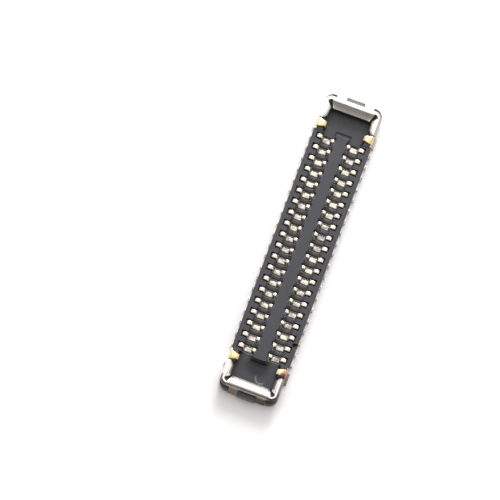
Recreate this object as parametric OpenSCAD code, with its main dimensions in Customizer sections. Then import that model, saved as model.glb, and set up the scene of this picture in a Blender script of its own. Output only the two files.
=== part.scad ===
// Fine-pitch receptacle of a board-to-board connector pair, mating side up.
// Millimetres. X runs along the rows, Y across them, and Z up from the circuit board.
// Contacts and covers are bent strips: each is a section with its bends, extruded to width.

/* [Contacts] */
// Distance from one contact to the next along a row
pitch = 0.35; // [0.33:0.01:0.5]
// Contacts in each row
per_row = 20; // [4:1:20]
// Distance between the two rows, from hook to hook
row_w = 1.3; // [1.2:0.01:1.6]
// Width of a contact strip in its spring
contact_w = 0.16; // [0.12:0.01:0.17]
// Width of the strip in its tail, outer leg and hook
hook_w = 0.12; // [0.08:0.01:0.14]
// Width of the strip at the spring tip
tip_w = 0.1; // [0.06:0.01:0.12]
// Thickness of a contact strip
contact_t = 0.06; // [0.04:0.005:0.065]
// Inside radius of the hook over the side wall
hook_r = 0.04; // [0.035:0.005:0.05]
// Inside radius of the bends at the foot and in the spring
bend_r = 0.035; // [0.03:0.005:0.06]
// Inside radius of the rounded spring tip
tip_r = 0.03; // [0.02:0.005:0.04]
// Length of the flat end of the spring past its rounded tip
tip_flat = 0.04; // [0.01:0.005:0.05]
// Angle by which the spring arm leans away from the island
arm_lean = 8; // [0:1:12]
// Height of the spring tip above the board
tip_top = 0.43; // [0.36:0.01:0.46]
// Height by which the hook stands above the side wall
hook_proud = 0.03; // [0:0.01:0.05]
// Gap between the board and the bottom of the spring
spring_lift = 0.03; // [0.01:0.01:0.05]
// Length of solder tail outside the side wall
tail_out = 0.06; // [0.05:0.01:0.3]
// Height of the barbs that hold a contact in its slot
barb_h = 0.1; // [0.05:0.01:0.2]

/* [Housing] */
// Height of the side walls above the board
wall_top = 0.5; // [0.46:0.01:0.52]
// Height of the cavity floor above the board
floor_top = 0.15; // [0.13:0.01:0.2]
// Width of the island between the rows
island_w = 0.44; // [0.36:0.01:0.5]
// Height of the island above the board
island_top = 0.47; // [0.4:0.01:0.52]
// Distance from the last contact to the end of the island
island_past = 0.27; // [0.2:0.01:0.4]
// Angle by which the ends of the island lean in
island_lean = 11; // [0:1:25]
// Thickness of wall left outside the contacts
skin_t = 0.12; // [0.06:0.01:0.15]
// Width of the spine that joins the floor ribs
spine_w = 0.1; // [0.06:0.01:0.16]
// Width of a floor window under each spring
window_w = 0.25; // [0.22:0.01:0.27]
// Height by which a window is hollowed out under the island
hollow_top = 0.3; // [0.2:0.01:0.34]
// Depth of the relief in the island behind each spring tip
relief_d = 0.06; // [0.05:0.01:0.08]
// Bevel along the walls and the island
edge_bevel = 0.035; // [0.01:0.005:0.05]
// Distance by which the nose between the legs stands out past the rim
nose_out = 0.145; // [0.13:0.005:0.25]
// Height of the nose between the legs
nose_top = 0.36; // [0.2:0.01:0.42]
// Distance by which the base stands out past the rim at its ends
base_out = 0.09; // [0.02:0.005:0.1]
// Depth of the shallow pocket in the floor at each end of the island
pocket_d = 0.04; // [0.02:0.01:0.08]
// Length of the pocket beyond the end of the island
pocket_l = 0.1; // [0.05:0.01:0.2]
// Depth of the relief under each end of the housing
under_d = 0.02; // [0.01:0.005:0.04]
// Length of the relief under each end, inwards from the rim
under_l = 0.26; // [0.2:0.01:0.4]
// Length of the side notches next to the skirts
notch_l = 0.1; // [0.05:0.01:0.15]
// Depth of the side notches next to the skirts
notch_d = 0.1; // [0.05:0.01:0.12]
// Length of the widened spine at the near end
gate_l = 0.95; // [0.5:0.05:1.5]
// Width of the widened spine at the near end
gate_w = 0.34; // [0.2:0.01:0.4]

/* [End covers] */
// Distance from the last contact to the outside of the rim
rim_reach = 1.27; // [1.14:0.01:1.5]
// Height of the rim above the board
rim_top = 0.6; // [0.59:0.01:0.7]
// Thickness of the sheet metal
sheet_t = 0.06; // [0.04:0.005:0.065]
// Distance by which the covers stand out past the side walls
cover_out = 0; // [0:0.01:0.06]
// Corner radius of the rim, seen from above
corner_r = 0.22; // [0.2:0.01:0.28]
// Inside radius of every fold in the sheet
fold_r = 0.03; // [0.02:0.005:0.04]
// Width of the rim from its outside to the start of the inner fold
rim_band = 0.115; // [0.11:0.005:0.14]
// Height of the lip that the rim turns down over the corners
lip_h = 0.16; // [0.14:0.01:0.2]
// Slope of the guide plate below the horizontal
plate_slope = 34; // [30:1:60]
// Length of the sloping part of the guide plate
plate_l = 0.22; // [0.1:0.01:0.28]
// Width of the guide plate where it leaves the rim
plate_w = 1.36; // [0.9:0.01:1.38]
// Angle at which the ends of the guide plate taper
plate_taper = 22; // [0:1:30]
// Slope of the side flaps below the horizontal
flap_slope = 45; // [40:1:75]
// Length of the sloping part of the side flaps
flap_l = 0.11; // [0.06:0.01:0.16]
// Angle at which the ends of the side flaps taper
flap_taper = 35; // [0:1:45]
// Distance from the last contact to the start of the skirts
skirt_gap = 0.175; // [0.15:0.005:0.2]
// Gap between the board and the lower edge of the skirts
skirt_lift = 0.12; // [0.1:0.01:0.2]
// Distance from the start of the skirts to their solder feet
foot_in = 0.08; // [0.04:0.01:0.12]
// Length of the solder feet of the skirts
foot_l = 0.36; // [0.2:0.01:0.4]
// Distance from a skirt to the end of its solder foot
foot_out = 0.07; // [0.05:0.01:0.15]
// Distance from the last contact to the middle of the power tabs
tab_at = 0.375; // [0.36:0.005:0.39]
// Width of the power tabs
tab_w = 0.25; // [0.14:0.01:0.26]
// Width of the power tabs where they drop into the cavity
tab_tip_w = 0.16; // [0.08:0.01:0.25]
// Length of the flat top of the power tabs
tab_flat = 0.14; // [0.08:0.01:0.15]
// Height of the lower end of the power tabs
tab_z = 0.22; // [0.18:0.01:0.4]
// Gap between the power tabs and the arms of the rim
arm_gap = 0.03; // [0.02:0.01:0.06]
// Distance between the two legs of a cover, from middle to middle
leg_span = 0.86; // [0.8:0.01:1]
// Width of a leg
leg_w = 0.26; // [0.16:0.01:0.28]
// Distance by which the legs stand out past the rim
leg_out = 0.115; // [0.08:0.005:0.125]
// Length of a leg's solder foot under the housing
leg_foot = 0.12; // [0.06:0.01:0.2]

/* [Fits] */
// Clearance on each side of a contact in its slot
slot_side = 0.02; // [0.01:0.005:0.03]
// Clearance in front of and behind a contact in its slot
slot_gap = 0.01; // [0.005:0.005:0.02]
// Clearance between the covers and the housing
seat = 0.01; // [0.005:0.005:0.02]

/* [Hidden] */
$fn = 64;
// Overshoot of a cut past the face that it opens
cut = 0.05;
// Reach of a cut that runs out past the end of the part
cut_out = 1;
// Overlap of two lengths of strip that join at an angle, or of a fold and its flat
lap = 0.0005;
row_l = (per_row - 1) * pitch;
function two_digits(i) = i < 10 ? str("0", i) : str(i);
function contact_name(side, i) = str("contact_", side, "_", two_digits(i));
function contact_x(i) = (i - 1) * pitch - row_l / 2;

// Contact section, from the centre line outwards and from the board up
hook_y = row_w / 2;
hook_z = wall_top + hook_proud - hook_r - contact_t;
leg_out_y = hook_y + hook_r;
leg_in_y = hook_y - hook_r - contact_t;
foot_y = leg_out_y + contact_t + bend_r;
foot_z = contact_t + bend_r;
u_z = spring_lift + contact_t + bend_r;
u_out_y = leg_in_y - bend_r;
tip_y = island_w / 2 + 2 * slot_gap;
tip_z = tip_top - tip_r - contact_t;
tip_to_u = tip_r + contact_t + bend_r;
u_in_y = tip_y + (tip_to_u - (tip_z - u_z) * sin(arm_lean)) / cos(arm_lean);
arm_l = (tip_z - u_z) * cos(arm_lean) - (u_in_y - tip_y) * sin(arm_lean);

// Slots and walls that hold the contacts
slot_w = contact_w + 2 * slot_side;
slot_y = leg_out_y + contact_t + 2 * slot_gap;
side_y = slot_y + skin_t;
wall_in = leg_in_y + 2 * slot_gap;
groove_y = hook_y - hook_r + slot_gap;
saddle_z = hook_z - slot_gap;
tail_y = side_y + tail_out;
tail_room = contact_t + 3 * slot_gap;
island_x = row_l / 2 + island_past;

// Cover: the rim's outside, its folds and what hangs from them
rim_x = row_l / 2 + rim_reach;
rim_y = side_y + cover_out;
fold_out = fold_r + sheet_t;
fold_z = rim_top - fold_out;
lip_z = rim_top - lip_h;
corner_x = rim_x - corner_r;
corner_y = rim_y - corner_r;
skirt_x = row_l / 2 + skirt_gap;
skirt_foot_x = skirt_x + foot_in;
tab_x = row_l / 2 + tab_at - tab_w / 2;
tab_in_y = rim_y - 2 * fold_out - tab_flat;
arm_x = tab_x + tab_w + arm_gap;
plate_in = plate_l * cos(plate_slope) + fold_out * sin(plate_slope);
flap_in = flap_l * cos(flap_slope) + fold_out * sin(flap_slope);
leg_y = (leg_span - leg_w) / 2;
leg_top_x = rim_x + fold_r;
leg_top_z = lip_z - sheet_t / 2;
leg_foot_x = rim_x + leg_out - fold_out;
leg_foot_z = fold_out;
leg_rise = norm([leg_top_x - leg_foot_x, leg_top_z - leg_foot_z]);
leg_turn = asin((fold_r + fold_out) / leg_rise) - atan2(leg_top_x - leg_foot_x, leg_top_z - leg_foot_z);
leg_l = (leg_top_z - leg_foot_z) * cos(leg_turn) - (leg_top_x - leg_foot_x) * sin(leg_turn);

// End of the housing, seated inside the cover
core_x = rim_x - sheet_t - seat;
core_y = rim_y - sheet_t - seat;
core_r = corner_r - sheet_t - seat;
core_top = rim_top - sheet_t - seat;
core_step = 0.6 * (fold_r - seat);
base_x = rim_x + base_out;
base_r = corner_r + base_out / 2;
base_top = lip_z - 2 * seat;
room_x = rim_x - rim_band - plate_in;
room_y = tab_in_y + sheet_t + seat;
room_r = 0.08;
nose_x = rim_x + nose_out;
nose_y = leg_y - 2 * seat;
leg_room_y = leg_y + leg_w + 2 * seat;

// A strip bent round a centre, between two angles at most 180 degrees apart
module bend(r, t, from, to) {
  reach = 2 * (r + t);
  step = (to - from) / 4;
  intersection() {
    difference() {
      circle(r + t);
      circle(r);
    }
    polygon(concat([[0, 0]], [for (k = [0 : 4]) reach * [cos(from + k * step), sin(from + k * step)]]));
  }
}

// A section in Y and Z, extruded along X
module along_x(from, to) {
  translate([from, 0, 0])
    rotate([90, 0, 90])
      linear_extrude(to - from)
        children();
}

// A section in X and Z, extruded along Y
module along_y(from, to) {
  translate([0, to, 0])
    rotate([90, 0, 0])
      linear_extrude(to - from)
        children();
}

// A plan in X and Y, extruded from one height to another
module between(from, to) {
  translate([0, 0, from])
    linear_extrude(to - from)
      children();
}

module both_sides() {
  children();
  mirror([0, 1, 0]) children();
}

module both_ends() {
  children();
  mirror([1, 0, 0]) children();
}

// From the solder tail up the outside of the wall and over it
module hook_section() {
  translate([foot_y, 0]) square([tail_y - foot_y, contact_t]);
  translate([foot_y, foot_z]) bend(bend_r, contact_t, 180, 270);
  translate([leg_out_y, foot_z]) square([contact_t, hook_z - foot_z]);
  translate([hook_y, hook_z]) bend(hook_r, contact_t, 0, 180);
}

// Down into the cavity and round its bottom
module spring_section() {
  translate([leg_in_y, u_z]) square([contact_t, hook_z - u_z]);
  translate([u_out_y, u_z]) bend(bend_r, contact_t, 270, 360);
  translate([u_in_y, spring_lift]) square([u_out_y - u_in_y, contact_t]);
  translate([u_in_y, u_z]) bend(bend_r, contact_t, 180 - arm_lean, 270);
}

// Up to the rounded tip beside the island and on into its relief
module arm_section() {
  translate([tip_y, tip_z]) {
    rotate(-arm_lean) translate([tip_r, -arm_l - lap]) square([contact_t, arm_l + 2 * lap]);
    bend(tip_r, contact_t, -arm_lean, 90);
    translate([-tip_flat, tip_r]) square([tip_flat + lap, contact_t]);
  }
}

// A bent strip with barbs on its outer leg, which hold it in the wall, and a tapering arm
module contact() {
  barb_w = slot_w - slot_gap;
  taper_z = u_z + contact_t;
  color("#e6e0d2") {
    along_x(-hook_w / 2, hook_w / 2) hook_section();
    along_x(-contact_w / 2, contact_w / 2) spring_section();
    intersection() {
      along_x(-contact_w / 2, contact_w / 2) arm_section();
      along_y(0, leg_in_y)
        polygon([
          [-contact_w / 2, 0], [contact_w / 2, 0], [contact_w / 2, taper_z], [tip_w / 2, tip_z],
          [tip_w / 2, wall_top], [-tip_w / 2, wall_top], [-tip_w / 2, tip_z], [-contact_w / 2, taper_z]
        ]);
    }
    translate([-barb_w / 2, leg_out_y, foot_z + slot_gap]) cube([barb_w, contact_t, barb_h]);
  }
}

module contact_left(i) {
  translate([contact_x(i), 0, 0]) contact();
}

module contact_right(i) {
  mirror([0, 1, 0]) contact_left(i);
}

// Repeats a plan shape at every contact of both rows
module at_contacts() {
  for (side = [1, -1])
    for (i = [1 : per_row])
      translate([contact_x(i), 0])
        mirror([0, 1 - side])
          children();
}

// A rectangle across a contact, between two distances from the centre line
module across(w, from, to) {
  translate([-w / 2, from]) square([w, to - from]);
}

// Side walls and floor along the rows
module row_section() {
  half = [
    [side_y, 0], [side_y, wall_top - edge_bevel], [side_y - edge_bevel, wall_top],
    [wall_in + edge_bevel, wall_top], [wall_in, wall_top - edge_bevel], [wall_in, floor_top]
  ];
  polygon(concat(half, [for (k = [len(half) - 1 : -1 : 0]) [-half[k][0], half[k][1]]]));
}

// The island has bevelled edges and sloping ends
module island() {
  half = island_w / 2;
  slope = (island_top - floor_top) * tan(island_lean);
  intersection() {
    along_x(-island_x, island_x)
      polygon([
        [-half, 0], [half, 0], [half, island_top - edge_bevel], [half - edge_bevel, island_top],
        [edge_bevel - half, island_top], [-half, island_top - edge_bevel]
      ]);
    along_y(-half, half)
      polygon([
        [-island_x, 0], [island_x, 0], [island_x, floor_top], [island_x - slope, island_top],
        [slope - island_x, island_top], [-island_x, floor_top]
      ]);
  }
}

// Plan of an end, from a line across the part out to two rounded corners
module end_plan(from, x, y, r) {
  translate([from, -y]) square([x - r - from, 2 * y]);
  translate([from, r - y]) square([x - from, 2 * (y - r)]);
  for (side = [1, -1])
    translate([x - r, side * (y - r)]) circle(r);
}

// The end of the housing: a core inside the cover, and a base and a nose that the cover leaves bare
module end_block() {
  between(0, core_top - core_step) end_plan(skirt_x - seat, core_x, core_y, core_r);
  between(0, core_top)
    end_plan(skirt_x - seat, core_x - core_step, core_y - core_step, core_r - core_step);
  difference() {
    union() {
      between(0, base_top) end_plan(corner_x - cut, base_x, rim_y, base_r);
      between(0, skirt_lift - 2 * seat)
        end_plan(skirt_foot_x + foot_l + 2 * seat, base_x, rim_y, base_r);
    }
    between(-cut, rim_top) translate([core_x, -leg_room_y]) square([cut_out, 2 * leg_room_y]);
  }
  between(0, nose_top) translate([core_x - cut, -nose_y]) square([nose_x - core_x + cut, 2 * nose_y]);
}

// What is open in an end: the cavity, the seats of the guide plate and flaps, and room for the feet
module end_room() {
  between(floor_top, rim_top) end_plan(skirt_x, room_x, room_y, room_r);
  between(core_top - core_step, rim_top)
    end_plan(skirt_x, room_x, room_y + core_step, room_r);
  between(floor_top, rim_top) translate([skirt_x - cut, -wall_in]) square([2 * cut, 2 * wall_in]);
  between(floor_top - pocket_d, floor_top + cut)
    end_plan(island_x - cut, island_x + pocket_l, island_w / 2 + pocket_d, pocket_d);
  along_y(-plate_w / 2 - 2 * seat, plate_w / 2 + 2 * seat)
    translate([rim_x - rim_band, fold_z]) fold_room(plate_slope, plate_l);
  both_sides()
    along_x(arm_x - seat, corner_x + seat)
      translate([rim_y - rim_band, fold_z]) fold_room(flap_slope, flap_l);
  both_sides()
    between(skirt_lift - 2 * seat, rim_top)
      translate([skirt_x - seat, core_y]) square([corner_x - skirt_x + 2 * seat, core_y]);
  both_sides()
    between(-cut, sheet_t + 2 * seat)
      translate([leg_foot_x - leg_foot - 2 * seat, leg_y - 2 * seat])
        square([leg_foot + cut_out, leg_w + 4 * seat]);
  both_sides()
    between(-cut, floor_top)
      translate([skirt_x - seat, core_y - notch_d]) square([notch_l, notch_d + cut]);
  between(-cut, under_d) translate([rim_x - under_l, -side_y]) square([under_l + cut_out, 2 * side_y]);
}

// Room over a sloping sheet, measured from the centre of its fold
module fold_room(slope, length) {
  rotate(slope)
    translate([-length - seat, fold_r - seat])
      square([length + fold_r, 4 * sheet_t]);
}

module housing() {
  color("#3a3b40") {
    difference() {
      union() {
        difference() {
          union() {
            along_x(-skirt_x + seat, skirt_x - seat) row_section();
            both_ends() end_block();
          }
          both_ends() end_room();
        }
        island();
      }
      // Windows under the springs and the island
      between(-cut, hollow_top) at_contacts() across(window_w, spine_w / 2, wall_in);
      // Room for the inner leg in the wall and for the tip in the island
      between(-cut, rim_top) at_contacts() across(slot_w, wall_in - cut, groove_y);
      between(floor_top, rim_top) at_contacts() across(slot_w, island_w / 2 - relief_d, island_w / 2 + cut);
      // Pocket for the outer leg, the opening over the hook and the notch for the tail
      between(-cut, rim_top) at_contacts() across(slot_w, leg_out_y - slot_gap, slot_y);
      between(saddle_z, rim_top)
        at_contacts() {
          across(slot_w, groove_y - cut, slot_y - slot_w / 4);
          translate([0, slot_y - slot_w / 2]) circle(slot_w / 2);
        }
      between(-cut, tail_room) at_contacts() across(slot_w, slot_y - cut, side_y + cut);
    }
    // Widened spine at the near end
    between(0, hollow_top) translate([seat - skirt_x, -gate_w / 2]) square([gate_l, gate_w]);
  }
}

// Section of the rim from the centre of its outer fold: lip, fold and flat top
module rim_section() {
  translate([fold_r, lip_z - fold_z]) square([sheet_t, fold_z - lip_z]);
  bend(fold_r, sheet_t, 0, 90);
  translate([fold_out - rim_band, fold_r]) square([rim_band - fold_out, sheet_t]);
}

// A fold from the flat top down a slope, from the centre of the fold
module slope_section(slope, length) {
  translate([-lap, fold_r]) square([2 * lap, sheet_t]);
  bend(fold_r, sheet_t, 90, 90 + slope);
  rotate(slope) translate([-length, fold_r]) square([length + lap, sheet_t]);
}

// The guide plate slopes down into the cavity from the end of the rim
module guide_plate() {
  low_y = plate_w / 2 - plate_in * tan(plate_taper);
  x = rim_x - rim_band;
  intersection() {
    along_y(-plate_w / 2, plate_w / 2) translate([x, fold_z]) slope_section(plate_slope, plate_l);
    between(0, rim_top + cut)
      polygon([
        [x + lap, -plate_w / 2], [x + lap, plate_w / 2], [x, plate_w / 2],
        [x - plate_in, low_y], [x - plate_in, -low_y], [x, -plate_w / 2]
      ]);
  }
}

// The side flaps fold down inside the side walls from the arms of the rim
module side_flap() {
  y = rim_y - rim_band;
  inset = flap_in * tan(flap_taper);
  from = arm_x;
  to = corner_x;
  intersection() {
    along_x(from, to) translate([y, fold_z]) slope_section(flap_slope, flap_l);
    between(0, rim_top + cut)
      polygon([
        [from, y + lap], [to, y + lap], [to, y],
        [to - inset, y - flap_in], [from + inset, y - flap_in], [from, y]
      ]);
  }
}

// The skirt runs down outside the wall and turns out into a solder foot
module skirt() {
  along_x(skirt_x, corner_x)
    translate([rim_y - sheet_t, skirt_lift]) square([sheet_t, fold_z - skirt_lift]);
  along_x(skirt_foot_x, skirt_foot_x + foot_l) {
    translate([rim_y - sheet_t, fold_out]) square([sheet_t, skirt_lift]);
    translate([rim_y + fold_r, fold_out]) bend(fold_r, sheet_t, 180, 270);
    translate([rim_y + fold_r, 0]) square([foot_out - fold_r, sheet_t]);
  }
}

// The power tab is a tapering strap from the skirt over the wall and down into the cavity
module power_tab() {
  half = tab_w / 2;
  tip = min(tab_tip_w, tab_w) / 2;
  wide_y = rim_y - fold_out;
  intersection() {
    along_x(tab_x, tab_x + tab_w)
      translate([wide_y, fold_z]) {
        bend(fold_r, sheet_t, 0, 90);
        translate([-tab_flat, fold_r]) square([tab_flat, sheet_t]);
        translate([-tab_flat, 0]) bend(fold_r, sheet_t, 90, 180);
        translate([-tab_flat - fold_out, tab_z - fold_z]) square([sheet_t, fold_z - tab_z]);
      }
    between(0, rim_top + cut)
      translate([tab_x + half, 0])
        polygon([
          [half, rim_y + cut], [half, wide_y], [tip, wide_y - tab_flat], [tip, tab_in_y - cut],
          [-tip, tab_in_y - cut], [-tip, wide_y - tab_flat], [-half, wide_y], [-half, rim_y + cut]
        ]);
  }
}

// A leg leans out from the lip and turns in under the housing
module leg() {
  along_y(leg_y, leg_y + leg_w) {
    translate([rim_x - sheet_t, leg_top_z]) square([sheet_t, fold_z - leg_top_z]);
    translate([leg_top_x, leg_top_z]) bend(fold_r, sheet_t, 180, 180 + leg_turn);
    translate([leg_foot_x, leg_foot_z]) {
      rotate(leg_turn) translate([fold_r, -lap]) square([sheet_t, leg_l + 2 * lap]);
      bend(fold_r, sheet_t, -90, leg_turn);
    }
    translate([leg_foot_x - leg_foot, 0]) square([leg_foot, sheet_t]);
  }
}

// One folded sheet over an end of the housing
module end_cover() {
  color("#d9d6cf") {
    along_y(-corner_y, corner_y) translate([rim_x - fold_out, fold_z]) rim_section();
    guide_plate();
    both_sides() {
      translate([corner_x, corner_y, fold_z])
        rotate_extrude(angle = 90) translate([corner_r - fold_out, 0]) rim_section();
      along_x(arm_x, corner_x) translate([rim_y - fold_out, fold_z]) rim_section();
      side_flap();
      skirt();
      power_tab();
      leg();
    }
  }
}

module end_cover_far() {
  end_cover();
}

module end_cover_near() {
  mirror([1, 0, 0]) end_cover();
}

housing();
end_cover_near();
end_cover_far();
for (i = [1 : per_row]) {
  contact_left(i);
  contact_right(i);
}
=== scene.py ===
"""Looks of a low board-to-board receptacle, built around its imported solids. Sizes are in millimetres."""
import logging
import math
from dataclasses import dataclass
from enum import Enum
from typing import Callable, Optional, Sequence, Union

import bmesh
import bpy
from mathutils import Matrix, Vector


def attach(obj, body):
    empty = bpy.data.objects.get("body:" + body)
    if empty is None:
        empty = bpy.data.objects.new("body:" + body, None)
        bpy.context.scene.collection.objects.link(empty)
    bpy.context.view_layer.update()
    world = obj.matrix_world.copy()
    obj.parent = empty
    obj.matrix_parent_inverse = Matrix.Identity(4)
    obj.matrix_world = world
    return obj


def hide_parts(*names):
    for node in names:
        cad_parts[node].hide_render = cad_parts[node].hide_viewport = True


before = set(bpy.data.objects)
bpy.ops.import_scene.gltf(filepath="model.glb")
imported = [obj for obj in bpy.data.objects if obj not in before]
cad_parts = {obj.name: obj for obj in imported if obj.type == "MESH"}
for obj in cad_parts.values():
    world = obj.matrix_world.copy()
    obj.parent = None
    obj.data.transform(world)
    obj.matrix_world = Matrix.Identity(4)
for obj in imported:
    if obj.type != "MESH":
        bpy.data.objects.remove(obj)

MM = 0.001
# In millimetres: how near points are merged, how far one may lie off a level, and off its place.
WELD = 0.0002
LEVEL = 0.00005
PLACE = 0.001
LOG = logging.getLogger("receptacle")
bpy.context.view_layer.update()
Number = Union[float, "Level"]


class Row(Enum):
    """The two rows of contacts, by the sign of Y."""
    LEFT = 1
    RIGHT = -1


class End(Enum):
    """The two ends of the part, by the sign of X."""
    NEAR = -1
    FAR = 1


def plug(tree: bpy.types.NodeTree, slot: bpy.types.NodeSocket, value: object) -> None:
    """Links an input or sets it.

    Args:
        tree: the node tree.
        slot: the input.
        value: a level or a socket that is linked to it, or the value that it takes.
    """
    if isinstance(value, Level):
        value = value.socket
    if isinstance(value, bpy.types.NodeSocket):
        tree.links.new(value, slot)
    else:
        slot.default_value = value


class Level:
    """A number in a node tree. Python's operators on it add Math nodes."""

    def __init__(self, tree: bpy.types.NodeTree, socket: bpy.types.NodeSocket) -> None:
        """Wraps an output socket that carries a number."""
        self.tree = tree
        self.socket = socket

    def apply(self, operation: str, *others: Number, clamp: bool = False,
              first: Optional[float] = None) -> "Level":
        """Adds one Math node.

        Args:
            operation: the Math node's operation.
            others: numbers or levels for the inputs after the first.
            clamp: whether the result is kept between 0 and 1.
            first: a number that goes in front of this level.

        Returns:
            The node's result.
        """
        node = self.tree.nodes.new("ShaderNodeMath")
        node.operation = operation
        node.use_clamp = clamp
        values = [self, *others] if first is None else [first, self, *others]
        for slot, value in zip(node.inputs, values):
            plug(self.tree, slot, value)
        return Level(self.tree, node.outputs[0])

    def __add__(self, other: Number) -> "Level":
        """Sum."""
        return self.apply("ADD", other)

    __radd__ = __add__

    def __sub__(self, other: Number) -> "Level":
        """Difference."""
        return self.apply("SUBTRACT", other)

    def __rsub__(self, other: float) -> "Level":
        """Difference from a number."""
        return self.apply("SUBTRACT", first=other)

    def __mul__(self, other: Number) -> "Level":
        """Product."""
        return self.apply("MULTIPLY", other)

    __rmul__ = __mul__

    def __truediv__(self, other: Number) -> "Level":
        """Quotient."""
        return self.apply("DIVIDE", other)

    def __pow__(self, other: Number) -> "Level":
        """Power."""
        return self.apply("POWER", other)

    def size(self) -> "Level":
        """Absolute value."""
        return self.apply("ABSOLUTE")

    def past(self, edge: float) -> "Level":
        """How far the level is above an edge, or 0 below it."""
        return (self - edge).apply("MAXIMUM", 0.0)

    def length(self, other: "Level") -> "Level":
        """Length of the vector that this level and another one make."""
        return (self * self + other * other) ** 0.5

    def clamped(self) -> "Level":
        """The same level, kept between 0 and 1."""
        return self.apply("ADD", 0.0, clamp=True)

    def above(self, edge: float, blur: float) -> "Level":
        """A soft step: 0 below an edge and 1 above it.

        Args:
            edge: where the step's middle lies.
            blur: how far the step reaches on each side.

        Returns:
            The step.
        """
        return ((self - (edge - blur)) / (2 * blur)).clamped()

    def below(self, edge: float, blur: float) -> "Level":
        """A soft step down: 1 below an edge and 0 above it.

        Args:
            edge: where the step's middle lies.
            blur: how far the step reaches on each side.

        Returns:
            The step.
        """
        return ((edge + blur - self) / (2 * blur)).clamped()


class Recipe:
    """The node tree of one material, with a Principled shader at its end."""

    def __init__(self, name: str) -> None:
        """Makes an empty material with its shader and output.

        Args:
            name: the material's name.
        """
        self.material = bpy.data.materials.new(name)
        self.material.use_nodes = True
        self.tree = self.material.node_tree
        self.tree.nodes.clear()
        output = self.tree.nodes.new("ShaderNodeOutputMaterial")
        self.shader = self.tree.nodes.new("ShaderNodeBsdfPrincipled")
        self.tree.links.new(self.shader.outputs[0], output.inputs["Surface"])
        self.place = self.node("ShaderNodeTexCoord").outputs["Object"]

    def node(self, kind: str, settings: Optional[dict] = None,
             sockets: Optional[dict] = None) -> bpy.types.Node:
        """Adds a node.

        Args:
            kind: the node's type.
            settings: its properties, set before its sockets.
            sockets: values, sockets or levels for its inputs, by name or number.

        Returns:
            The node.
        """
        node = self.tree.nodes.new(kind)
        for name, value in (settings or {}).items():
            setattr(node, name, value)
        for name, value in (sockets or {}).items():
            plug(self.tree, node.inputs[name], value)
        return node

    def noise(self, grain: float, detail: float = 3.0, stretch: Sequence[float] = (1, 1, 1)) -> Level:
        """Noise over the object.

        Args:
            grain: size of the pattern in millimetres.
            detail: how many finer layers it has.
            stretch: how much longer the pattern is along X, Y and Z.

        Returns:
            A level around 0.5.
        """
        scale = [1 / (grain * MM * s) for s in stretch]
        moved = self.node("ShaderNodeMapping", sockets={"Vector": self.place, "Scale": scale})
        sockets = {"Vector": moved.outputs[0], "Scale": 1.0, "Detail": detail}
        return Level(self.tree, self.node("ShaderNodeTexNoise", sockets=sockets).outputs[0])

    def coordinate(self, axis: str) -> Level:
        """The place along an axis, in millimetres."""
        split = self.node("ShaderNodeSeparateXYZ", sockets={0: self.place})
        return Level(self.tree, split.outputs[axis]) / MM

    def from_middle(self, at: Sequence[float], half: Sequence[float] = (1, 1)) -> Level:
        """The distance from a point in plan.

        Args:
            at: the point.
            half: the half sizes of an oval around it, on whose edge the distance is 1.

        Returns:
            The distance, in millimetres unless there is an oval.
        """
        along = (self.coordinate("X") - at[0]) / half[0]
        return along.length((self.coordinate("Y") - at[1]) / half[1])

    def mix(self, share: Level, low: object, high: object) -> bpy.types.NodeSocket:
        """A colour between two colours.

        Args:
            share: how much of the second colour there is.
            low: the first colour or a colour socket.
            high: the second colour or a colour socket.

        Returns:
            The colour socket.
        """
        # Inputs 6 and 7 and output 2 are the node's colours.
        sockets = {0: share, 6: opaque(low), 7: opaque(high)}
        return self.node("ShaderNodeMix", {"data_type": "RGBA"}, sockets).outputs[2]

    def bump(self, height: Level, depth: float) -> bpy.types.NodeSocket:
        """A bumped normal.

        Args:
            height: the height pattern.
            depth: its height in millimetres.

        Returns:
            The normal socket.
        """
        sockets = {"Height": height, "Distance": depth * MM, "Strength": 1.0}
        return self.node("ShaderNodeBump", sockets=sockets).outputs[0]

    def feed(self, **sockets: object) -> None:
        """Sets or links the shader's sockets, with _ for a blank in their names."""
        for name, value in sockets.items():
            plug(self.tree, self.shader.inputs[name.replace("_", " ")], value)


def opaque(colour: object) -> object:
    """A colour with its alpha, or the socket that it is."""
    return (*colour, 1.0) if isinstance(colour, tuple) else colour


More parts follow.
